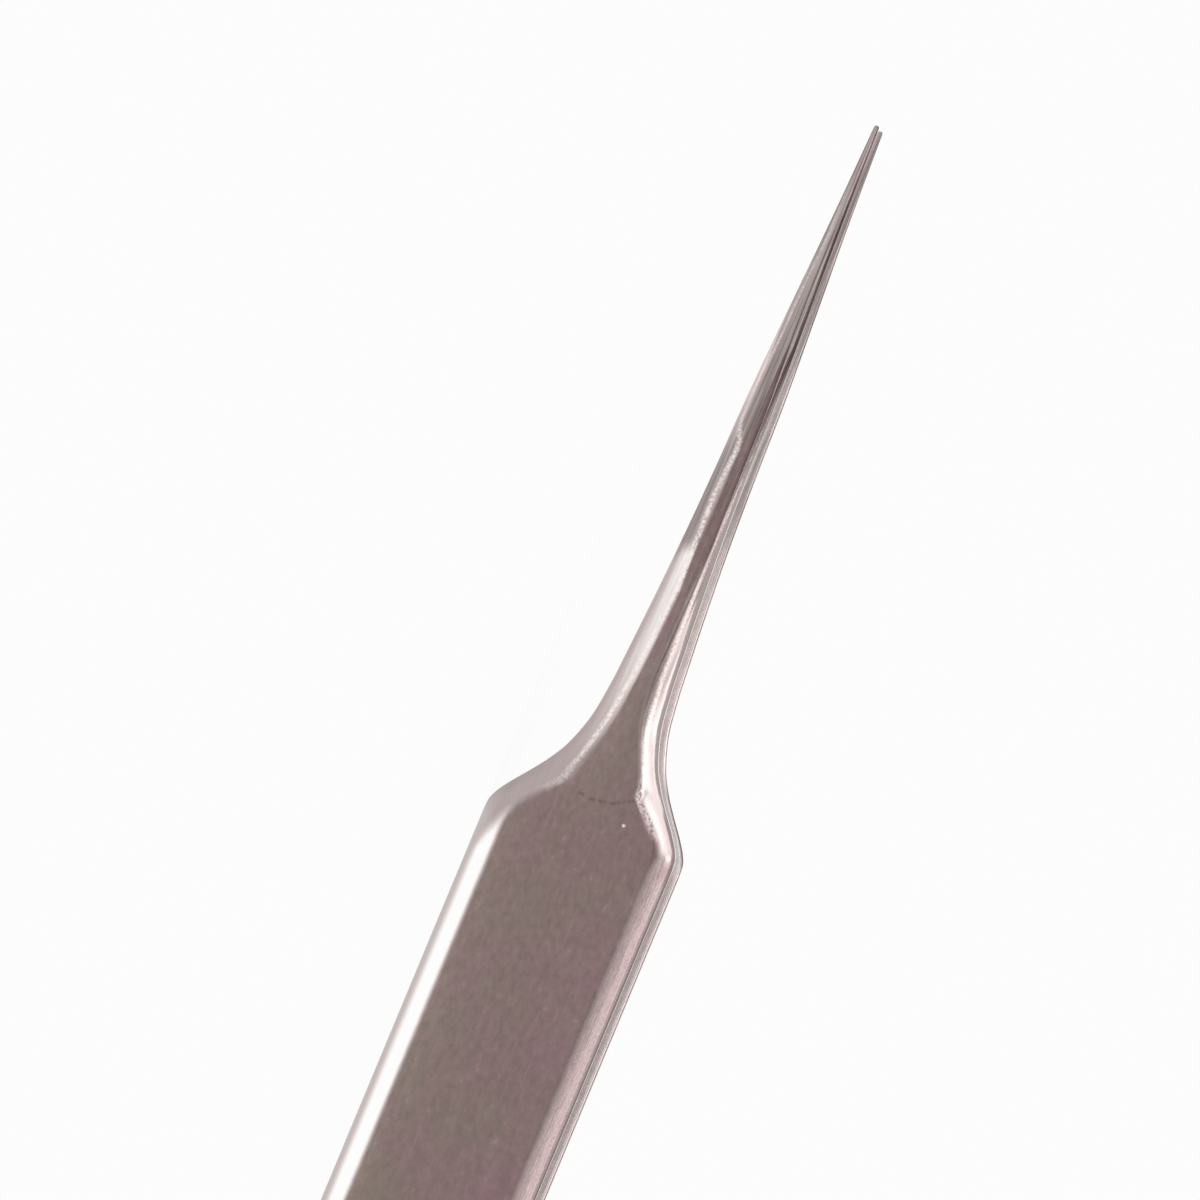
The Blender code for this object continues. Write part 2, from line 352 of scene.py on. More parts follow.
def groundSteel(v):
    material = bpy.data.materials.new("groundStainlessSteel")
    tree = clearedTree(material)
    place = addNode(tree, "ShaderNodeTexCoord").outputs["Object"]
    point = placeSocket(tree, place, (1000, 1000, 1000))    # in millimetres
    height = addNode(tree, "ShaderNodeSeparateXYZ", {}, {0: point})
    # scratches and streaks run along the leaf, so they are long in X and fine across it
    along, down = (placeSocket(tree, place, tuple(1000 / size for size in v[word]))
                   for word in ("scratchSizes", "streakSizes"))
    brushed = placeSocket(tree, point, tuple(1 / size for size in v["grainSizes"]))
    polish, ridge, paintedTone, streaky = (
        addNode(tree, "ShaderNodeAttribute", {"attribute_name": word}).outputs["Fac"]
        for word in ("polish", "ridge", "paintedTone", "streaky"))
    mottle, speck, grain, scratch, streak = (
        noiseSocket(tree, where, scale, v[word + "Detail"], v[word + "Roughness"])
        for word, where, scale in (("mottle", point, 1 / v["mottleSize"]),
                                   ("speck", point, 1 / v["speckSize"]),
                                   ("grain", brushed, 1.0), ("scratch", along, 1.0),
                                   ("streak", down, 1.0)))

    # where a ridge of painted highlight lies on the edge of the polish, specks of polish and satin mix
    ragged = rangeSocket(tree, speck, *v["frayRange"], -v["fray"], v["fray"])
    edge = mathSocket(tree, "MULTIPLY", mathSocket(tree, "SUBTRACT", 1.0, polish), polish)
    edge = mathSocket(tree, "MULTIPLY", edge, ridge)
    polish = mathSocket(tree, "MULTIPLY_ADD", ragged, edge, polish, clamp=True)

    # satin: clouds from olive to mauve, with scratches and pits
    drift = rangeSocket(tree, height.outputs["Z"], *v["driftHeights"],
                        -v["driftAcross"], v["driftAcross"])
    cloud = rangeSocket(tree, mathSocket(tree, "ADD", mottle, drift), *v["cloudRange"])
    satin = colourSocket(tree, cloud, srgb(v["satinOlive"]), srgb(v["satinMauve"]))
    thinScratch, pits = (rangeSocket(tree, noise, *v[word], high=v["mostMarked"])
                         for noise, word in ((scratch, "scratchRange"), (grain, "pitRange")))
    marks = mathSocket(tree, "MAXIMUM", thinScratch, pits)
    marked = colourSocket(tree, marks, satin, srgb(v["pit"]))

    # polish: painted reflection, lighter where its painted light is high and low down where it mirrors the white
    # table, more mauve along the upper edge where it mirrors the dim ceiling
    clean = rangeSocket(tree, height.outputs["Z"], v["cleanBelow"], 0.0, high=v["mostTableMirror"])
    clear = mathSocket(tree, "MAXIMUM", rangeSocket(tree, paintedTone, *v["litPolishTones"]), clean)
    upper = rangeSocket(tree, height.outputs["Z"], *v["mauveHeights"])
    dimPolish = colourSocket(tree, upper, srgb(v["polishedDark"]), srgb(v["polishedMauve"]))
    bright = colourSocket(tree, clear, dimPolish, srgb(v["polishedLight"]))
    mixed = colourSocket(tree, polish, marked, bright)

    # each streak lightens or darkens the place on top of its painted light and shade, as strongly as the place
    # is streaky
    swing = rangeSocket(tree, streak, *v["streakRange"], *v["streakSwing"])
    share = mathSocket(tree, "MULTIPLY_ADD", swing, streaky, 1.0)
    grained = rangeSocket(tree, grain, *v["grainRange"], 1 - v["grainShade"], 1 + v["grainShade"])
    evened = addNode(tree, "ShaderNodeMix", {"data_type": "FLOAT"},
                     {0: polish, 2: grained, 3: 1.0})
    touched, glint = wheelMarkAndGlint(tree, v, height, grain)
    # painted reflection and shade, carried by the leaf's vertices, lighten or darken each place's colour
    local = mathSocket(tree, "MULTIPLY", evened.outputs[0], paintedTone)
    local = mathSocket(tree, "MULTIPLY", local, touched)
    shade = mathSocket(tree, "MULTIPLY", share, local)
    toned = addNode(tree, "ShaderNodeVectorMath", {"operation": "SCALE"},
                    {0: mixed, "Scale": shade}).outputs[0]
    # painted highlight: broken near white along the ridges, and the painted glint, laid into the colour; the
    # ridges also get real roughness and burr relief below
    broken = rangeSocket(tree, speck, *v["highlightRange"], v["leastHighlight"], 1.0)
    paintedHighlight = mathSocket(tree, "MAXIMUM", mathSocket(tree, "MULTIPLY", broken, ridge), glint)
    colour = colourSocket(tree, paintedHighlight, toned, srgb(v["highlightWhite"]))

    rough = rangeSocket(tree, polish, 0.0, 1.0, v["satinRoughness"], v["polishedRoughness"])
    rough = mathSocket(tree, "MULTIPLY_ADD", grain, v["roughnessOfGrain"], rough)
    rough = mathSocket(tree, "MULTIPLY_ADD", ridge, v["roughnessOfRidge"], rough)
    relief = grain
    for layer, word in ((scratch, "scratchRelief"), (paintedHighlight, "highlightRelief"), (ridge, "burr")):
        relief = mathSocket(tree, "MULTIPLY_ADD", layer, v[word], relief)
    bareMetal(tree, colour, rough, relief, v["bumpStrength"], v["bumpDistance"])
    return material


leafSteel = groundSteel(groundFinishAndPaintedLight)
print("steel mixed")


# The two leaves. All lengths are millimetres; `along` is measured from the heel end.

leaf = {
    "overallLength": 125.0, "gripWidth": 9.0, "gripStart": 38.0,
    "heelWidth": 5.6, "heelCornerRadius": 1.3,
    "needleLength": 27.7, "shoulderLength": 7.8, "neckWidth": 2.64, "pointWidth": 0.23,
    "needleRuns": (0.0, 0.17, 0.33, 0.50, 0.60, 0.70, 0.84, 1.0),
    "needleGrowths": (0.0, 0.135, 0.305, 0.475, 0.525, 0.60, 0.76, 1.0),
    "shoulderRuns": (0.0, 0.23, 0.46, 0.58, 0.69, 0.81, 0.89, 0.945, 1.0),
    "shoulderRises": (0.0, 0.07, 0.24, 0.40, 0.59, 0.815, 0.94, 0.99, 1.0),
    "shoulderLead": 0.58,
    "leadRuns": (0.0, 0.57, 0.78, 1.03, 1.2), "leads": (0.0, 0.0, 1.0, 1.0, 0.0),
    "thickRuns": (0.0, 0.08, 0.22, 0.45, 0.78, 1.0),
    "thicks": (1.1, 1.1, 0.95, 1.35, 1.30, 0.30),
    "bowRuns": (0.0, 0.07, 0.15, 0.26, 0.40, 0.56, 0.70, 0.84, 1.0),
    "bowRises": (0.0, 0.08, 0.31, 0.62, 0.88, 1.0, 0.99, 0.89, 0.68),
    "heelSpread": 0.75, "greatestSpread": 4.5, "pointSpread": 2.6,
    "bevelWidth": 1.05, "bevelDropShare": 0.50,
    "chamferWidthShare": 0.74, "chamferDropShare": 0.55, "ridgeShare": 0.94,
    # the inner edges, never more than one of so many parts of the half width
    "innerEdge": 0.10, "leastEdgeParts": 3,
    "bevelRuns": (0.0, 0.57, 0.65, 0.73, 0.78, 0.84, 0.88, 0.906, 0.93, 0.957, 0.98, 1.0),
    "bevelSizes": (0.48, 0.52, 0.61, 0.78, 0.87, 0.89, 0.85, 0.95, 1.24, 1.06, 1.0, 1.0),
    "flatOffset": 0.28, "flatRoomShare": 0.6,
    "flatRuns": (0.0, 0.22, 0.40, 0.57, 0.66, 0.74, 0.80, 1.0),
    "flatShifts": (0.0, 0.45, 1.0, 0.80, 0.58, 0.28, 0.0, 0.0),
    "facePlane": 0.001,       # mm from the face's plane within which a spot counts as on it
    # how far corners 2 to 9 are rounded: bevel, wall and inner corners, from the upper bevel round
    "roundings": (None, None, 0.20, 0.14, 0.06, 0.05, 0.05, 0.06, 0.12, 0.14),
    "roundingPoints": 5, "holdWidth": 0.05, "holdShare": 0.05,
    "mostOfEdge": 0.42, "mostOfChamfer": 0.62, "mostOfOuter": 0.3,
    # extra points between corners, as shares of the way: on the face, a chamfer and the inner face
    "facePoints": (0.02, 0.04, 0.07, 0.12, 0.22, 0.5, 0.78, 0.88, 0.93, 0.96, 0.98),
    "chamferPoints": (0.2, 0.4, 0.6, 0.8),
    "innerPoints": (0.03, 0.06, 0.12, 0.2, 0.5, 0.8, 0.9, 0.96),
    # stretches of stations: from, to, step
    "stations": ((1.3, 37.9, 0.6), (37.9, 89.1, 0.7), (89.1, 97.6, 0.13), (97.6, 124.8, 0.2)),
    # the ends close in: at the heel over endRounding, at the points over (mm behind, share left)
    "cornerSteps": 9, "endRounding": 0.10, "endClosing": 0.10,
    "pointRings": ((0.12, 1.0), (0.05, 0.93), (0.015, 0.75), (0.0, 0.45)),
}

# The finish along a leaf, as (distance in mm from just behind the points, value). Tones are shares
# of the satin's or the polish's own brightness, and they are painted reflection and painted shade.
# Cuts and places are mm from the face's edge, counted outward along the bevel and with a minus
# on the face.
finishAndPaintedLight = {
    # how bright the satin and the polish are, as the tones take them
    "satinShine": 0.21, "polishShine": 0.83,
    # mm behind the points where the tables start
    "tablesStart": 0.40,
    # painted reflection and shade on the face, along the leaf
    "faceTones": ((0.0, 0.9), (6.0, 0.80), (8.5, 0.50), (12.0, 0.56), (15.5, 0.80), (24.0, 0.95),
                  (30.0, 1.0)),
    # painted light: the face is a little lighter beside the lower bevel
    "faceGlow": 0.20, "glowReach": 0.9,
    # painted reflection and shade on the lower bevel, which turns light along a slanting line near the grip
    "lowerTones": ((0.0, 0.46), (4.0, 0.54), (7.0, 0.46), (9.0, 0.40), (12.0, 0.42), (16.0, 0.36),
                   (20.3, 0.44), (21.0, 0.90), (26.0, 0.84), (29.5, 0.60), (31.8, 0.50),
                   (34.3, 0.50), (34.8, 0.66), (35.6, 1.15)),
    "toneSlants": ((31.5, 0.0), (33.0, 1.5), (35.0, 1.9)),
    "lowerSlopes": ((0.0, 0.24), (4.5, 0.28), (7.0, 0.60), (13.0, 0.64), (14.5, 0.52),
                    (16.0, 0.38), (20.3, 0.36), (21.5, 0.60), (27.0, 0.54), (34.0, 0.44),
                    (35.3, 0.60)),
    # painted reflection and shade on the upper bevel and the rounded corner beyond it
    "upperTones": ((0.0, 0.45), (8.0, 0.34), (11.0, 0.34), (13.2, 0.60), (15.5, 0.94),
                   (20.0, 0.76), (24.0, 0.54), (27.0, 0.50), (30.0, 0.88), (33.8, 1.0),
                   (34.8, 0.74)),
    "upperSlopes": ((0.0, 0.44), (8.0, 0.38), (11.0, 0.42), (13.2, 1.0), (16.0, 1.1), (20.5, 1.2),
                    (30.0, 1.2), (32.0, 0.95), (34.6, 0.90)),
    "outerTones": ((0.0, 0.90), (6.0, 0.85), (10.0, 0.70), (12.0, 1.0), (16.0, 1.25), (20.4, 1.5),
                   (22.7, 1.6), (25.0, 1.0), (27.3, 0.72), (29.5, 0.76), (32.5, 0.82),
                   (33.8, 0.76), (34.8, 0.44), (80.0, 0.40), (92.0, 0.7)),
    "outerSpreads": ((16.0, 0.14), (20.0, 0.20), (26.0, 0.20), (29.5, 0.26), (32.0, 0.34),
                     (34.4, 0.36), (35.4, 0.18)),
    # painted shade: a darker line on the needle's upper ridge that dims the lamp's highlight there
    "cornerPlace": 0.04, "cornerSpread": 0.15,
    "cornerTones": ((0.0, 1.0), (4.0, 0.95), (7.0, 0.70), (11.0, 0.55), (13.2, 0.80), (15.5, 1.0),
                    (18.0, 0.9), (20.4, 0.60), (22.7, 0.72), (25.0, 0.85), (28.0, 1.0)),
    # a bevel's painted light turns into its outer slope's between these shares of the bevel's width
    "lowerSlopeStart": 0.6, "lowerSlopeEnd": 1.25,
    "upperSlopeStart": 0.85, "upperSlopeEnd": 1.15,
    # painted shade on the narrow side wall, which starts and is full at these shares of the inner edge
    "wallShares": ((4.0, 0.95), (12.0, 0.5), (26.0, 0.6), (29.0, 1.0), (34.2, 1.0), (35.0, 0.5)),
    "wallStart": 0.8, "wallFull": 0.1,
    # painted reflection and shade on the inner face, brighter in a zone along its upper edge, as wide as
    # edgeZone
    "innerShines": ((0.0, 0.36), (8.0, 0.34), (12.5, 0.54), (18.0, 0.46), (20.5, 0.66),
                    (28.0, 0.78), (31.3, 0.90), (34.1, 1.0), (34.8, 0.72)),
    "innerFaceShine": 0.30, "innerPolish": 0.45, "edgeZone": 1.2, "edgeZoneFull": 0.4,
    # it ends between these shares of the inner edge, counted outward
    "innerStart": 0.8, "innerEnd": 2.0,
    # and the painted shade on its rim starts and is full at these shares of it
    "rimShares": ((13.0, 1.15), (19.0, 0.84), (30.4, 0.84), (31.4, 0.40), (34.0, 0.30),
                  (34.6, 0.80)),
    "rimStart": 1.6, "rimFull": 0.8,
    # how far the face's edges are softened, on the face's side and on the bevel's
    "lowerFaceCut": ((0.0, 0.03), (34.6, 0.04), (35.6, 0.24)),
    "lowerBevelCut": ((0.0, 0.20), (34.8, 0.16)),
    "upperFaceCut": ((0.0, 0.03), (34.6, 0.06)),
    "upperBevelCut": ((0.0, 0.22), (30.4, 0.24), (31.3, 0.12), (32.2, 0.22), (33.5, 0.30),
                      (35.5, 0.52)),
    # where satin gives way to polish
    "lowerPolishStarts": ((12.0, -0.05), (18.0, 0.0), (20.4, -0.05), (22.7, -0.22), (27.3, -0.12),
                          (29.5, -0.16), (32.0, -0.50), (34.2, -0.42), (35.4, -0.10)),
    "lowerPolishEnds": ((12.0, 0.06), (18.0, 0.16), (20.4, 0.05), (22.7, -0.06), (27.3, 0.06),
                        (29.5, 0.06), (32.0, -0.04), (34.2, 0.05), (35.4, 0.20)),
    "upperPolishStarts": ((12.0, -0.05), (18.0, -0.02), (20.4, -0.05), (22.7, -0.28),
                          (27.3, -0.28), (29.5, -0.16), (31.4, -0.14), (32.1, 0.05), (33.3, 0.02),
                          (33.9, 0.08), (34.2, 0.10), (35.0, -0.12)),
    "upperPolishEnds": ((12.0, 0.06), (18.0, 0.14), (20.4, 0.10), (22.7, 0.14), (27.3, 0.50),
                        (29.5, 0.34), (31.4, 0.24), (32.1, 0.40), (32.8, 0.46), (33.5, 0.60),
                        (34.2, 0.74), (35.0, 0.48)),
    # ridges of painted highlight broken into specks, beside the needle's flat, and along the upper bevel's outer
    # edge
    "lowerRidge": ((2.0, 0.0), (4.0, 0.30), (8.0, 0.45), (11.0, 0.50), (13.4, 0.42), (15.5, 0.85),
                   (18.0, 0.9), (20.0, 1.0), (30.0, 1.0), (32.5, 0.3), (33.5, 0.0)),
    "lowerRidgePlaces": ((5.0, 0.22), (8.2, 0.40), (10.9, 0.56), (13.2, 0.74), (14.4, 0.66),
                         (15.5, 0.24), (18.0, 0.32), (20.4, 0.14), (22.7, 0.0), (27.3, 0.22),
                         (29.5, 0.26), (31.8, -0.08)),
    "upperRidge": ((11.5, 0.0), (13.5, 0.9), (19.0, 0.85), (22.0, 0.55), (29.0, 0.5), (30.4, 0.4),
                   (31.2, 0.80), (32.9, 0.95), (33.4, 0.3), (33.7, 0.0)),
    "upperRidgePlaces": ((13.6, 0.36), (15.9, 0.38), (18.0, 0.28), (20.4, 0.22), (22.7, 0.18),
                         (27.3, 0.36), (29.5, 0.28), (31.4, 0.18), (32.1, 0.0), (33.2, 0.02),
                         (33.9, 0.16)),
    "outerRidge": ((34.6, 0.0), (35.2, 0.20), (80.0, 0.20), (95.0, 0.1)),
    "ridgeSpreads": ((0.0, 0.07), (13.5, 0.08), (15.5, 0.17), (31.6, 0.17), (32.6, 0.27),
                     (34.0, 0.27), (34.5, 0.17)),
    # how much of the long grinding lines shows
    "streaks": ((0.0, 0.6), (4.0, 1.0), (16.0, 0.9), (21.0, 0.30), (30.0, 0.10), (36.0, 0.05)),
}


def halfWidth(v, along):
    toPoint = v["overallLength"] - along
    if toPoint <= v["needleLength"]:
        grown = smoothThrough(v["needleRuns"], v["needleGrowths"], toPoint / v["needleLength"])
        return (v["pointWidth"] + (v["neckWidth"] - v["pointWidth"]) * grown) / 2
    if toPoint < v["needleLength"] + v["shoulderLength"]:
        rise = smoothThrough(v["shoulderRuns"], v["shoulderRises"],
                             (toPoint - v["needleLength"]) / v["shoulderLength"])
        return (v["neckWidth"] + (v["gripWidth"] - v["neckWidth"]) * rise) / 2
    if along >= v["gripStart"]:
        return v["gripWidth"] / 2
    taper = along / v["gripStart"]
    half = (v["heelWidth"] + (v["gripWidth"] - v["heelWidth"]) * taper * (2 - taper)) / 2
    radius = v["heelCornerRadius"]
    if along < radius:
        half -= radius - math.sqrt(radius ** 2 - (radius - along) ** 2)
    return half


def innerSpread(v, along):
    share = along / v["overallLength"]
    reach = v["greatestSpread"] - v["heelSpread"]
    spread = v["heelSpread"] + reach * smoothThrough(v["bowRuns"], v["bowRises"], share)
    last = max(0, (share - v["bowRuns"][-2]) / (1 - v["bowRuns"][-2]))
    return spread + (v["pointSpread"] - v["heelSpread"] - reach * v["bowRises"][-1]) * last ** 2


def edgeSizes(v, along):
    half = halfWidth(v, along)
    front = min((v["overallLength"] - along) / (v["needleLength"] + v["shoulderLength"]), 1.0)
    bevel = min(v["bevelWidth"] * smoothThrough(v["bevelRuns"], v["bevelSizes"], front),
                half * v["ridgeShare"])
    shift = min(v["flatOffset"] * smoothThrough(v["flatRuns"], v["flatShifts"], front),
                bevel * v["flatRoomShare"])
    return half, bevel, shift


def sectionCorners(v, along):
    # ten corners as (up from the middle, out from the inner face), round from the face's lower end
    front = (v["overallLength"] - along) / (v["needleLength"] + v["shoulderLength"])
    lead = v["shoulderLead"] * smoothThrough(v["leadRuns"], v["leads"], front)
    lowHalf, lowBevel, lowShift = edgeSizes(v, along)
    highHalf, highBevel, highShift = edgeSizes(v, along - lead)
    lowFlat, highFlat = lowHalf - lowBevel - lowShift, highHalf - highBevel + highShift
    highChamfer = (highHalf - highFlat) * v["chamferWidthShare"]
    lowChamfer = (lowHalf - lowFlat) * v["chamferWidthShare"]
    thick = smoothThrough(v["thickRuns"], v["thicks"], along / v["overallLength"])
    drop = thick * v["bevelDropShare"]
    chamferDrop = drop * v["chamferDropShare"]
    edge = min(v["innerEdge"], lowHalf / v["leastEdgeParts"])
    return [Vector(pair) for pair in (
        (-lowFlat, thick), (highFlat, thick), (highFlat + highChamfer, thick - chamferDrop),
        (highHalf, thick - drop), (highHalf, edge), (highHalf - edge, 0), (edge - lowHalf, 0),
        (-lowHalf, edge), (-lowHalf, thick - drop), (-lowFlat - lowChamfer, thick - chamferDrop))]


def hump(place, middle, spread):
    # 1 in the middle, 0 from the spread on
    return max(0.0, 1 - ((place - middle) / spread) ** 2)


def spotFinishAndPaintedLight(v, f, at, corners, spot):
    # how polished a spot is, how strong the painted highlight on its ridge is and how much painted light and
    # shade it gets, from how far it lies beyond the face's nearer edge
    lower = spot.x < (corners[0].x + corners[1].x) / 2
    word = "lower" if lower else "upper"
    inner, outer = (corners[0], corners[9]) if lower else (corners[1], corners[2])
    outerEdge = corners[3].x
    beyond = (spot - inner).dot((outer - inner).normalized())
    if abs(spot.y - inner.y) < v["facePlane"]:
        beyond = inner.x - spot.x if lower else spot.x - inner.x
    bevelled = (outer - inner).length
    polish = ease(at[word + "PolishStarts"], at[word + "PolishEnds"], beyond)
    slope = ease(bevelled * f[word + "SlopeStart"], bevelled * f[word + "SlopeEnd"], beyond)
    own = at[word + "Tones"]
    if lower and at["toneSlants"]:
        own = stepThrough(f["lowerTones"], at["fromTip"] - at["toneSlants"] * max(beyond, 0.0))
    shine = f["polishShine"] * (own * (1 - slope) + at[word + "Slopes"] * slope)
    glow = 1 + (f["faceGlow"] * math.exp(min(beyond, 0) / f["glowReach"]) if lower else 0)
    shine = f["satinShine"] * at["faceTones"] * glow * (1 - polish) + shine * polish
    ridge = at[word + "Ridge"] * hump(beyond, at[word + "RidgePlaces"], at["ridgeSpreads"])
    # on the upper edge: painted shade near the outer edge, on the side wall and along the corner line, and the
    # painted highlight along the outer ridge
    if not lower:
        nearOuter = hump(beyond, bevelled, at["outerSpreads"])
        ridge = max(ridge, at["outerRidge"] * nearOuter)
        wall = ease(outerEdge - v["innerEdge"] * f["wallStart"],
                    outerEdge - v["innerEdge"] * f["wallFull"], spot.x)
        shine *= (1 - (1 - at["outerTones"]) * nearOuter) * (1 - (1 - at["wallShares"]) * wall)
        nearCorner = hump(beyond, f["cornerPlace"], f["cornerSpread"])
        shine *= 1 - (1 - at["cornerTones"]) * nearCorner
    # painted reflection and shade on the inner face, darker on its rim
    inside = 1 - ease(v["innerEdge"] * f["innerStart"], v["innerEdge"] * f["innerEnd"], spot.y)
    rim = ease(outerEdge - v["innerEdge"] * f["rimStart"],
               outerEdge - v["innerEdge"] * f["rimFull"], abs(spot.x))
    edgeZone = 1 - ease(f["edgeZone"] * f["edgeZoneFull"], f["edgeZone"], outerEdge - spot.x)
    innerShine = at["innerShines"] * edgeZone + f["innerFaceShine"] * (1 - edgeZone)
    innerShine *= 1 - rim * (1 - at["rimShares"])
    shine = shine * (1 - inside) + innerShine * inside
    polish, ridge = polish * (1 - inside) + f["innerPolish"] * inside, ridge * (1 - inside)
    paintedTone = shine / (f["satinShine"] * (1 - polish) + f["polishShine"] * polish)
    return polish, ridge, paintedTone, at["streaks"]


def roundedSection(v, f, along):
    # each corner becomes a short curve with a holding point on either side, as many in every ring
    corners = sectionCorners(v, along)
    count = len(corners)
    fromTip = v["overallLength"] - along - f["tablesStart"]
    at = {word: stepThrough(table, fromTip) for word, table in f.items()
          if isinstance(table, tuple)}
    at["fromTip"] = fromTip
    cuts = [(at["lowerBevelCut"], at["lowerFaceCut"]), (at["upperFaceCut"], at["upperBevelCut"])]
    cuts += [(reach, reach) for reach in v["roundings"][2:]]
    # how far a cut may reach before and after each corner, as shares of the way
    limits = [v["mostOfEdge"]] * (2 * count)
    limits[0] = limits[3] = v["mostOfChamfer"]
    limits[4] = limits[-1] = v["mostOfOuter"]
    curves = []
    for i, corner in enumerate(corners):
        back, ahead = corners[i - 1] - corner, corners[(i + 1) % count] - corner
        first = corner + back.normalized() * min(cuts[i][0], limits[2 * i] * back.length)
        last = corner + ahead.normalized() * min(cuts[i][1], limits[2 * i + 1] * ahead.length)
        curve = [first + back.normalized() * min(v["holdWidth"], v["holdShare"] * back.length)]
        for step in range(v["roundingPoints"]):
            t = step / (v["roundingPoints"] - 1)
            curve.append(first * (1 - t) ** 2 + corner * 2 * t * (1 - t) + last * t * t)
        hold = min(v["holdWidth"], v["holdShare"] * ahead.length)
        curve.append(last + ahead.normalized() * hold)
        curves.append(curve)
    between = {0: v["facePoints"], 1: v["chamferPoints"], 5: v["innerPoints"],
               count - 1: v["chamferPoints"]}
    spots = []
    for i, curve in enumerate(curves):
        spots += curve
        ahead = curves[(i + 1) % count][0]
        spots += [curve[-1].lerp(ahead, share) for share in between.get(i, ())]
    return [(spot, *spotFinishAndPaintedLight(v, f, at, corners, spot)) for spot in spots]


def leafStations(v):
    # (along, share of the full section), from the heel to the point
    places = []
    for i in range(v["cornerSteps"]):
        along = v["heelCornerRadius"] * (1 - math.cos(math.pi / 2 * i / v["cornerSteps"]))
        closing = v["endClosing"] * max(0.0, 1 - along / v["endRounding"]) ** 2
        places.append((along, 1 - closing))
    for start, end, step in v["stations"]:
        count = round((end - start) / step)
        places += [(start + (end - start) * i / count, 1.0) for i in range(count)]
    return places + [(v["overallLength"] - behind, share) for behind, share in v["pointRings"]]


def inTool(v, along, across, up):
    # from mm along the tool, across it and up from its middle height, to the tool's own axes
    return Vector((along - v["overallLength"] / 2, across, v["gripWidth"] / 2 + up))


def loftRings(rings, words, name, material):
    # a ring of edges drawn out from place to place; a ring lists (spot in mm, values of the words)
    bm = bmesh.new()
    bm.verts.layers.int.new("ringOrder")
    for word in words:
        bm.verts.layers.float.new(word)
    order = bm.verts.layers.int["ringOrder"]
    layers = [bm.verts.layers.float[word] for word in words]
    bmesh.ops.create_circle(bm, cap_ends=False, segments=len(rings[0]), radius=millimetre)
    bm.verts.ensure_lookup_table()
    for i, vert in enumerate(bm.verts):
        vert[order] = i
    verts, edges = bm.verts[:], bm.edges[:]
    firstEdges = edges
    for number, ring in enumerate(rings):
        if number:
            grown = bmesh.ops.extrude_edge_only(bm, edges=edges)["geom"]
            verts = [item for item in grown if isinstance(item, bmesh.types.BMVert)]
            fresh = set(verts)
            edges = [item for item in grown
                     if isinstance(item, bmesh.types.BMEdge) and fresh.issuperset(item.verts)]
        for vert in verts:
            spot, values = ring[vert[order]]
            vert.co = spot * millimetre
            for layer, value in zip(layers, values):
                vert[layer] = value
    bmesh.ops.edgeloop_fill(bm, edges=firstEdges)
    bmesh.ops.edgeloop_fill(bm, edges=edges)
    bm.verts.layers.int.remove(order)
    return finishPiece(bm, name, material)


def buildLeaf(v, f, name, side):
    rings = []
    for along, share in leafStations(v):
        section = roundedSection(v, f, along)
        middle = Vector((0, sum(point[0].y for point in section) / len(section)))
        spread = innerSpread(v, along)
        ring = []
        for spot, *values in section:
            spot = middle + (spot - middle) * share
            ring.append((inTool(v, along, side * (spread + spot.y), spot.x), values))
        rings.append(ring)
    words = ("polish", "ridge", "paintedTone", "streaky")
    return loftRings(rings, words, name, leafSteel)


# the springy stretch of each leaf, in metres
bendStart, bendEnd = (-0.0537, 0.0, 0.0045), (-0.0305, 0.0, 0.0045)
for name, node, side in (("frontLeaf", "front_arm", 1), ("backLeaf", "back_arm", -1)):
    piece = buildLeaf(leaf, finishAndPaintedLight, name, side)
    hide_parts(node)
    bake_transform(piece, "heel", node, start=bendStart, end=bendEnd)


# Heel: the wedge between the leaves and the dressed welds that hold all three together

heelFinish = {
    "markShare": 0.6,             # tool marks, against the clouds
    "cloudRange": (0.3, 0.7), "cloudDetail": 4.0, "markDetail": 2.0,
    "roughnessOfMarks": 0.12, "bumpStrength": 0.6,
    # clouds and marks in mm, relief in metres
    "spacer": {"name": "milledStainlessSteel",
               "light": "#8f8987", "dark": "#7d7674", "rim": "#857e7c",
               "cloudSize": 2.5, "marks": (0.8, 3.0, 0.07),
               "roughness": 0.34, "relief": 0.000010},
    "weld": {"name": "dressedWeldSteel",
             "light": "#a8a09d", "dark": "#8d8481", "rim": "#8a7562",
             "cloudSize": 0.9, "marks": (0.07, 2.0, 0.9),
             "roughness": 0.27, "relief": 0.000008},
}


def heelSteel(f, word):
    # plain steel with clouds, fine straight tool marks and a warmer rim where the metal ran hot
    own = f[word]
    material = bpy.data.materials.new(own["name"])
    tree = clearedTree(material)
    place = addNode(tree, "ShaderNodeTexCoord").outputs["Object"]
    clouds = placeSocket(tree, place, (1000 / own["cloudSize"],) * 3)
    lines = placeSocket(tree, place, tuple(1000 / length for length in own["marks"]))
    cloud = noiseSocket(tree, clouds, 1.0, f["cloudDetail"])
    mark = noiseSocket(tree, lines, 1.0, f["markDetail"])
    rim = addNode(tree, "ShaderNodeAttribute", {"attribute_name": "rim"})
    centred = mathSocket(tree, "MULTIPLY_ADD", mark, f["markShare"], -f["markShare"] / 2)
    steps = rangeSocket(tree, mathSocket(tree, "ADD", cloud, centred), *f["cloudRange"])
    plain = colourSocket(tree, steps, srgb(own["dark"]), srgb(own["light"]))
    colour = colourSocket(tree, rim.outputs["Fac"], plain, srgb(own["rim"]))
    rough = mathSocket(tree, "MULTIPLY_ADD", mark, f["roughnessOfMarks"], own["roughness"])
    bareMetal(tree, colour, rough, mark, f["bumpStrength"], own["relief"])
    return material


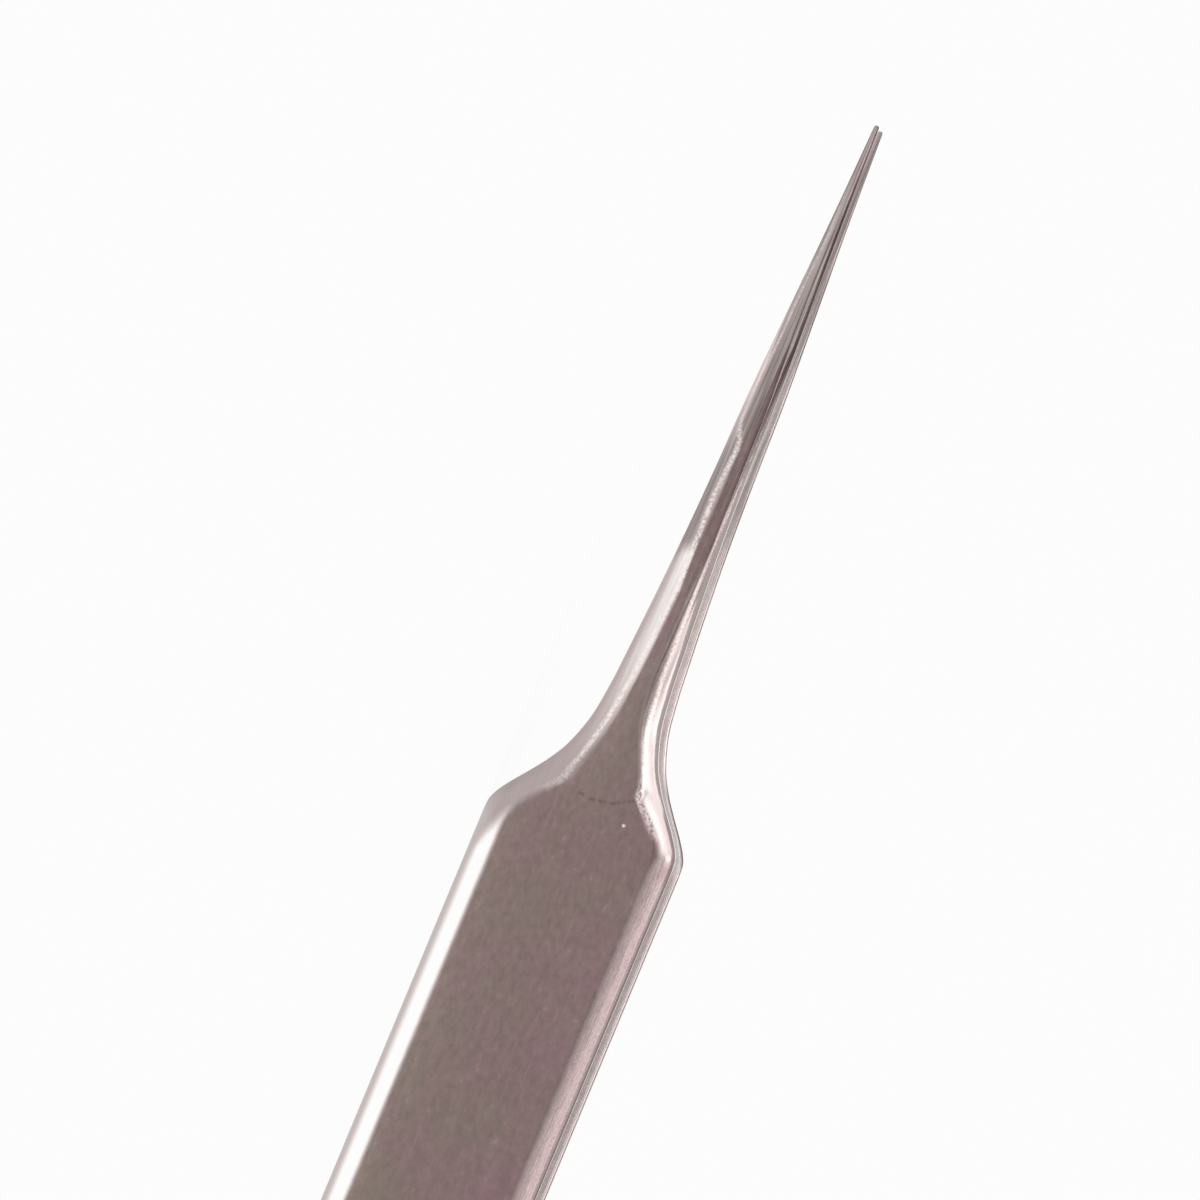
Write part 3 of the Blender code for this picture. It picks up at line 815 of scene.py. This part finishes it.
heel = {
    # mm; `up` is measured from the middle height of the tool, `along` from the heel end
    "spacerStart": 0.9, "spacerEnd": 8.8, "spacerHalfHeight": 2.0, "spacerSeat": 0.01,
    "spacerStep": 0.5, "spacerSteps": 14, "sidePoints": 6,
    "spacerEndShares": ((0.22, 1.0), (0.12, 0.995), (0.05, 0.97), (0.0, 0.92)),
    "weldStart": 0.06, "weldEnd": 8.75, "weldStep": 0.07, "weldSeat": 0.03, "weldRecess": 0.10,
    "weldLows": ((0.9, 1.5), (1.1, 1.95)), "leastBead": 0.1,
    "craterLength": 0.9, "craterShare": 0.45,
    "endWeldHalfHeight": 1.62, "endWeldDepth": 0.95, "endWeldSkin": 0.02, "endWeldAlong": 0.3,
    "sag": 0.10, "rippleDepth": 0.018, "ripplePitch": 0.52, "rippleBow": 0.30,
    "rimStrength": 0.8, "acrossPoints": 17,
}


def beadProfile(v, place):
    # across a bead, from leaf to leaf: (share of the half width, sink below its crown, rim)
    spots = []
    for i in range(v["acrossPoints"]):
        share = 1 - 2 * i / (v["acrossPoints"] - 1)
        wave = math.sin(2 * math.pi * (place + v["rippleBow"] * share ** 2) / v["ripplePitch"])
        sink = v["sag"] * share ** 2 + v["rippleDepth"] * (1 - share ** 4) * (1 - wave)
        spots.append((share, sink, share ** 6 * v["rimStrength"]))
    return spots


def buildSideWeld(v, h, name, way):
    rings = []
    count = round((h["weldEnd"] - h["weldStart"]) / h["weldStep"])
    for i in range(count + 1):
        along = h["weldStart"] + (h["weldEnd"] - h["weldStart"]) * i / count
        wide = innerSpread(v, along) + h["weldSeat"]
        low = stepThrough(h["weldLows"], along)
        high = max(halfWidth(v, along) - h["weldRecess"], low + h["leastBead"])
        fade = ease(0, h["craterLength"], h["weldEnd"] - along)
        high = low + (high - low) * (h["craterShare"] + (1 - h["craterShare"]) * fade)
        outline = [(-wide, low, 1.0), (wide, low, 1.0)]
        outline += [(wide * share, high - sink, rim) for share, sink, rim in beadProfile(h, along)]
        rings.append([(inTool(v, along, across, way * up), (rim,)) for across, up, rim in outline])
    return loftRings(rings, ("rim",), name, weldSteel)


def buildEndWeld(v, h, name):
    rings = []
    tall = h["endWeldHalfHeight"]
    count = round(2 * tall / h["weldStep"])
    for i in range(count + 1):
        up = -tall + 2 * tall * i / count
        wide = innerSpread(v, h["endWeldAlong"]) + h["weldSeat"]
        outline = [(-wide, h["endWeldDepth"], 1.0), (wide, h["endWeldDepth"], 1.0)]
        outline += [(wide * share, h["endWeldSkin"] + sink, rim)
                    for share, sink, rim in beadProfile(h, up)]
        rings.append([(inTool(v, along, across, up), (rim,)) for across, along, rim in outline])
    return loftRings(rings, ("rim",), name, weldSteel)


def buildSpacer(v, h, name):
    places = [(h["spacerStart"] + h["spacerStep"] * i, 1.0) for i in range(h["spacerSteps"] + 1)]
    places += [(h["spacerEnd"] - back, share) for back, share in h["spacerEndShares"]]
    rings = []
    for along, share in places:
        wide = (innerSpread(v, along) + h["spacerSeat"]) * share
        tall = h["spacerHalfHeight"] * share
        corners = [(-wide, -tall), (wide, -tall), (wide, tall), (-wide, tall)]
        ring = []
        for (a, b), (c, d) in zip(corners, corners[1:] + corners[:1]):
            steps = h["sidePoints"]
            ring += [(a + (c - a) * t / steps, b + (d - b) * t / steps) for t in range(steps)]
        rings.append([(inTool(v, along, across, up), (1 - share,)) for across, up in ring])
    return loftRings(rings, ("rim",), name, spacerSteel)


spacerSteel, weldSteel = heelSteel(heelFinish, "spacer"), heelSteel(heelFinish, "weld")
for piece, node in ((buildSpacer(leaf, heel, "heelSpacer"), "heel_spacer"),
                    (buildSideWeld(leaf, heel, "upperWeld", 1), "heel_weld_upper"),
                    (buildSideWeld(leaf, heel, "lowerWeld", -1), "heel_weld_lower"),
                    (buildEndWeld(leaf, heel, "endWeld"), "heel_weld_end")):
    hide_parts(node)
    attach(piece, "heel")
